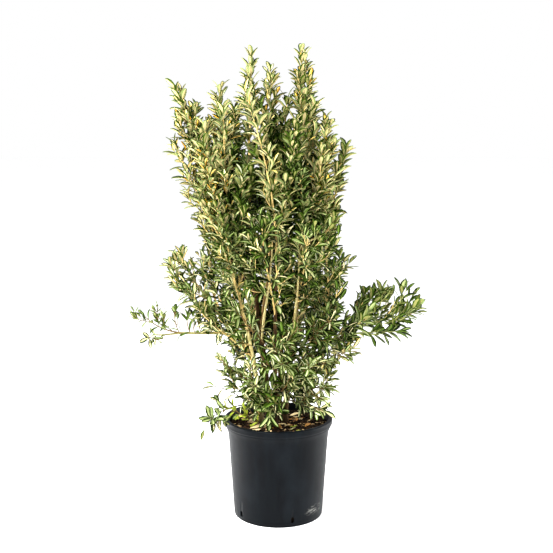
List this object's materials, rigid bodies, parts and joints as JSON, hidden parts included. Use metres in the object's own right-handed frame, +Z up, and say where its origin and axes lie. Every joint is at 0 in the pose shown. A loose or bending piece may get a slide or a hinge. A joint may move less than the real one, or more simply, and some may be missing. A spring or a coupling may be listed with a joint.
{
  "type": "potted japanese spindle",
  "caption": "Upright, many-stemmed evergreen spindle shrub with cream and green variegated leaves, growing in a round dark plastic nursery pot.",
  "frame": {"origin": "centre of the pot's flat underside", "axes": "+Z up along the pot's axis, -Y towards the side shown in front, +X to that side's right"},
  "size_m": [0.8056, 0.5362, 1.2847],
  "materials": {
    "pot": "dark blue-grey polypropylene with a slight sheen and faint scuffs",
    "soil": "composted bark and fallen leaves",
    "bark": "grey-brown to olive bark on the stems and boughs",
    "foliage": "glossy leaves, cream and yellow in the middle with a dark green edge, on yellow-green twigs"
  },
  "bodies": {
    "root": {"pot": "pot", "soil": "soil", "stem_trunk": "bark", "stem_left": "bark", "stem_right": "bark", "stem_front": "bark", "stem_back": "bark", "bough_left": "bark", "bough_left_inner": "bark", "bough_middle": "bark", "bough_right": "bark", "bough_right_edge": "bark", "bough_back": "bark", "bough_back_left": "bark", "bough_mid_left": "bark", "bough_mid_right": "bark", "bough_mid_back_left": "bark", "bough_thin_left": "bark", "bough_low_right": "bark", "crown_tallest": "foliage", "crown_tall_left": "foliage", "crown_middle": "foliage", "crown_left": "foliage", "crown_left_inner": "foliage", "crown_left_front": "foliage", "crown_left_edge": "foliage", "crown_front_long": "foliage", "crown_front_right": "foliage", "crown_right": "foliage", "crown_right_front": "foliage", "crown_right_edge": "foliage", "crown_back": "foliage", "crown_back_left": "foliage", "crown_back_right": "foliage", "mid_left": "foliage", "mid_left_front": "foliage", "mid_front": "foliage", "mid_front_right": "foliage", "mid_right": "foliage", "mid_right_edge": "foliage", "mid_back_left": "foliage", "mid_back_right": "foliage", "side_left": "foliage", "side_left_low": "foliage", "thin_left": "foliage", "low_left_upper": "foliage", "low_left": "foliage", "low_front_left": "foliage", "low_front": "foliage", "low_right": "foliage", "low_right_upper": "foliage", "low_right_under": "foliage", "low_right_middle": "foliage", "low_right_inner": "foliage", "low_right_front": "foliage", "low_right_shoot": "foliage", "low_back": "foliage", "low_back_left": "foliage", "drooping_left": "foliage", "base_front": "foliage"}
  },
  "joints": []
}
